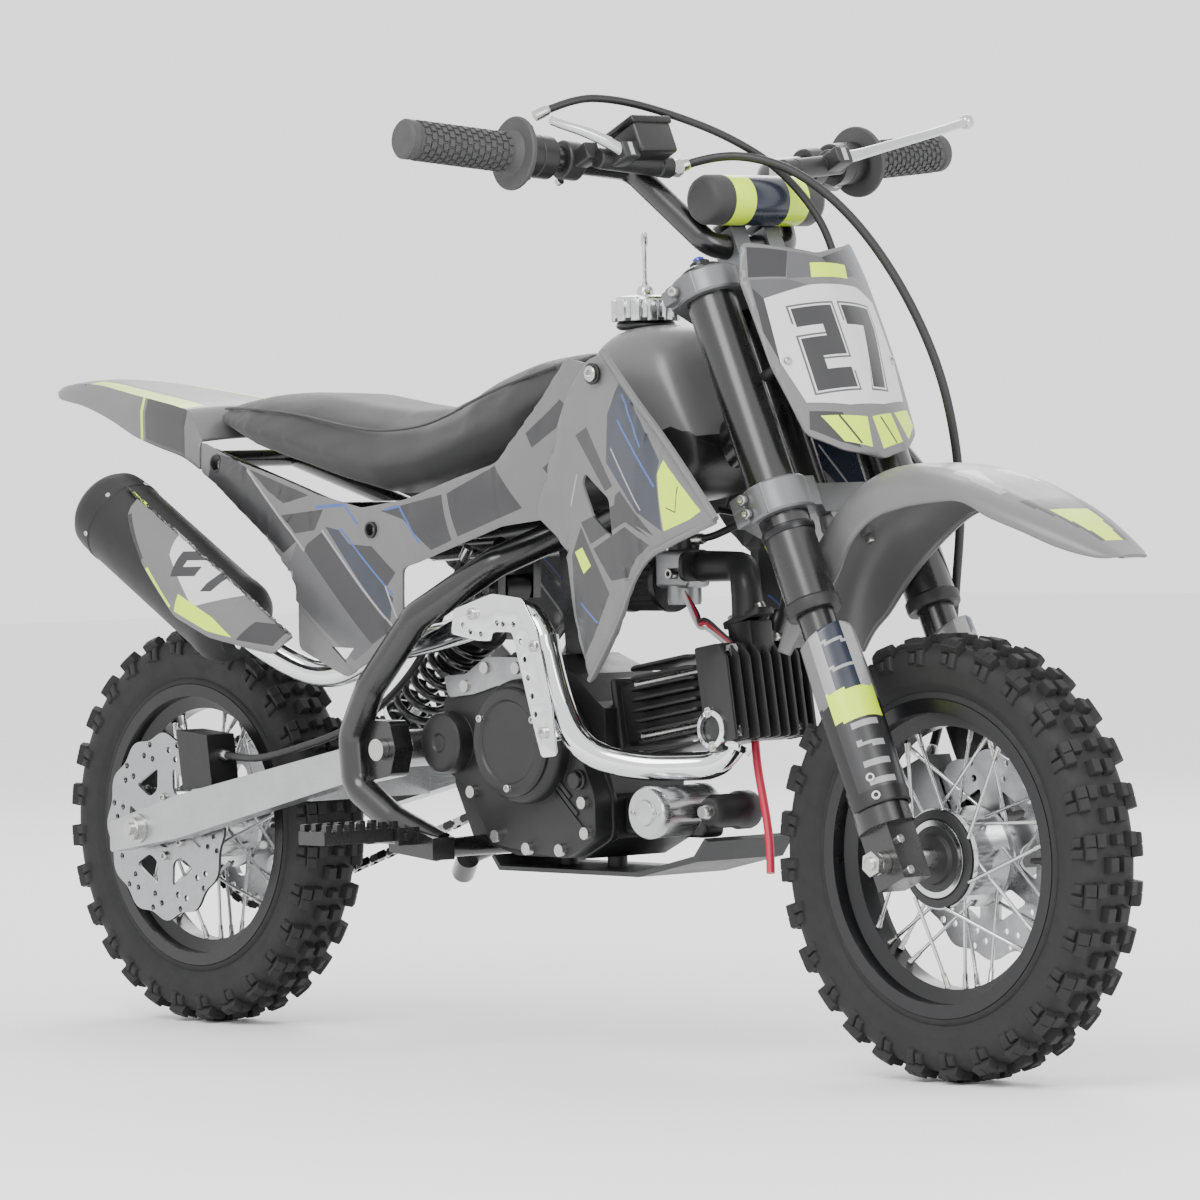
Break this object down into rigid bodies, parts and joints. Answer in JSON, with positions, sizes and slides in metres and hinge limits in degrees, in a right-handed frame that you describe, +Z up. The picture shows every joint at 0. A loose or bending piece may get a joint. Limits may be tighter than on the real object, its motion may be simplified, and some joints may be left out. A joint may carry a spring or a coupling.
{
  "type": "mini dirt bike",
  "caption": "Child-size petrol off-road motorcycle with knobby spoked wheels, telescopic fork, monoshock swingarm, side exhaust and grey, dark and lime bodywork",
  "frame": {"origin": "middle of the overall length, on the centre plane, on the ground under the tyres", "axes": "+X forward, +Y to the rider's left, +Z up"},
  "size_m": [1.432, 0.6528, 0.8481],
  "materials": {
    "tyre_rubber": "matte knobby",
    "black_rim": "semi-gloss black",
    "bright_metal": "polished",
    "disc_steel": "ground steel",
    "black_metal": "satin black",
    "engine_metal": "cast, painted dark",
    "bare_aluminium": "brushed",
    "grey_plastic": "grey moulded plastic with dark and lime graphics",
    "pale_plastic": "pale grey number plate and heat shield",
    "black_plastic": "matte",
    "tank_plastic": "grey moulded tank",
    "seat_cover": "dark grey grained vinyl",
    "grip_rubber": "grey ribbed rubber",
    "hose_rubber": "black hose",
    "hose_red": "soft red hose",
    "button_red": "red button"
  },
  "bodies": {
    "chassis": {"frame": "black_metal", "fuel_tank": "tank_plastic", "seat": "seat_cover", "tail_fender": "grey_plastic", "side_panel_right": "grey_plastic", "side_panel_left": "grey_plastic", "shroud_right": "grey_plastic", "shroud_left": "grey_plastic", "crankcase": "engine_metal", "engine_covers": "engine_metal", "cylinder": "engine_metal", "cylinder_head": "engine_metal", "starter_motor": "bright_metal", "intake": "engine_metal", "exhaust_header": "bright_metal", "muffler": "black_metal", "muffler_shield": "pale_plastic", "skid_plate": "black_metal", "chassis_bolts": "bright_metal", "overflow_hose": "hose_red"},
    "steering": {"triple_clamps": "bare_aluminium", "fork_tubes": "black_metal", "handlebar": "black_metal", "crossbar_pad": "black_plastic", "bar_controls": "bare_aluminium", "grip_left": "grip_rubber", "number_plate": "pale_plastic", "front_fender": "grey_plastic", "front_brake_hose": "hose_rubber", "throttle_cable": "hose_rubber"},
    "fork_lowers": {"fork_sliders": "bright_metal", "fork_guards": "black_plastic", "front_axle": "bright_metal", "front_caliper": "black_plastic"},
    "front_wheel": {"front_tyre": "tyre_rubber", "front_rim": "black_rim", "front_hub": "bare_aluminium", "front_disc": "disc_steel"},
    "swingarm": {"swingarm": "bare_aluminium", "swingarm_bolts": "bright_metal", "chain": "disc_steel", "rear_caliper": "black_plastic", "rear_brake_hose": "hose_rubber"},
    "rear_wheel": {"rear_tyre": "tyre_rubber", "rear_rim": "black_rim", "rear_hub": "bare_aluminium", "rear_disc": "disc_steel", "rear_sprocket": "disc_steel"},
    "drive_sprocket": {"drive_sprocket": "disc_steel"},
    "shock_body": {"shock_body": "engine_metal", "shock_spring": "disc_steel"},
    "shock_rod": {"shock_rod": "black_metal"},
    "throttle_grip": {"throttle_grip": "grip_rubber"},
    "brake_lever_right": {"brake_lever_right": "bright_metal"},
    "brake_lever_left": {"brake_lever_left": "bright_metal"},
    "foot_peg_right": {"foot_peg_right": "black_metal"},
    "foot_peg_left": {"foot_peg_left": "black_metal"},
    "side_stand": {"side_stand": "black_metal"},
    "fuel_cap": {"fuel_cap": "bright_metal"},
    "start_button": {"start_button": "button_red"}
  },
  "joints": [
    {"name": "steering_turn", "type": "hinge", "parent": "chassis", "child": "steering", "pos_m": [0.29125, 0, 0.56581], "axis": [-0.4099, 0, 0.9121], "range_deg": [-38, 38], "deforming": ["throttle_cable"]},
    {"name": "fork_travel", "type": "slide", "parent": "steering", "child": "fork_lowers", "axis": [-0.4099, 0, 0.9121], "range_m": [0, 0.035], "stiffness_N_per_m": 6000, "springref_m": -0.05, "deforming": ["front_brake_hose"]},
    {"name": "front_spin", "type": "hinge", "parent": "fork_lowers", "child": "front_wheel", "pos_m": [0.504, 0, 0.19], "axis": [0, 1, 0], "continuous": true},
    {"name": "swingarm_swing", "type": "hinge", "parent": "chassis", "child": "swingarm", "pos_m": [-0.11, 0, 0.274], "axis": [0, 1, 0], "range_deg": [0, 10], "stiffness_Nm_per_rad": 450, "springref_deg": -22.92, "deforming": ["chain", "rear_brake_hose"]},
    {"name": "rear_spin", "type": "hinge", "parent": "swingarm", "child": "rear_wheel", "pos_m": [-0.499, 0, 0.19], "axis": [0, 1, 0], "continuous": true},
    {"name": "drive_spin", "type": "hinge", "parent": "chassis", "child": "drive_sprocket", "pos_m": [-0.058, 0, 0.28], "axis": [0, 1, 0], "continuous": true},
    {"name": "shock_pivot", "type": "hinge", "parent": "chassis", "child": "shock_body", "pos_m": [-0.062, 0, 0.417], "axis": [0, 1, 0], "range_deg": [0, 4.4]},
    {"name": "shock_stroke", "type": "slide", "parent": "shock_body", "child": "shock_rod", "axis": [0.7742, 0, 0.633], "range_m": [0, 0.016], "deforming": ["shock_spring"]},
    {"name": "throttle_twist", "type": "hinge", "parent": "steering", "child": "throttle_grip", "pos_m": [0.1831, -0.26, 0.80164], "axis": [-0.0968, -0.9909, 0.0934], "range_deg": [0, 75], "stiffness_Nm_per_rad": 0.3, "springref_deg": -11.46},
    {"name": "right_lever_squeeze", "type": "hinge", "parent": "steering", "child": "brake_lever_right", "pos_m": [0.24505, -0.128, 0.7959], "axis": [0.4099, 0, -0.9121], "range_deg": [0, 12], "stiffness_Nm_per_rad": 1, "springref_deg": -17.19},
    {"name": "left_lever_squeeze", "type": "hinge", "parent": "steering", "child": "brake_lever_left", "pos_m": [0.24505, 0.128, 0.7959], "axis": [-0.4099, 0, 0.9121], "range_deg": [0, 11], "stiffness_Nm_per_rad": 1, "springref_deg": -17.19},
    {"name": "right_peg_fold", "type": "hinge", "parent": "chassis", "child": "foot_peg_right", "pos_m": [-0.08, -0.136, 0.198], "axis": [-1, 0, 0], "range_deg": [0, 45], "stiffness_Nm_per_rad": 1.5, "springref_deg": -34.38},
    {"name": "left_peg_fold", "type": "hinge", "parent": "chassis", "child": "foot_peg_left", "pos_m": [-0.08, 0.136, 0.198], "axis": [1, 0, 0], "range_deg": [0, 45], "stiffness_Nm_per_rad": 1.5, "springref_deg": -34.38},
    {"name": "side_stand_swing", "type": "hinge", "parent": "chassis", "child": "side_stand", "pos_m": [-0.12, 0.141, 0.21], "axis": [0, -1, 0], "range_deg": [0, 52]},
    {"name": "fuel_cap_lift", "type": "slide", "parent": "chassis", "child": "fuel_cap", "axis": [0, 0, 1], "range_m": [0, 0.04]},
    {"name": "start_button_press", "type": "slide", "parent": "steering", "child": "start_button", "axis": [0.9121, 0, 0.4099], "range_m": [0, 0.002], "stiffness_N_per_m": 200, "springref_m": -0.001}
  ],
  "couplings": [
    {"joint": "drive_spin", "follows": "rear_spin", "ratio": 2.6429},
    {"joint": "shock_pivot", "follows": "swingarm_swing", "ratio": 0.412},
    {"joint": "shock_stroke", "follows": "swingarm_swing", "m_per_rad": 0.0848}
  ]
}
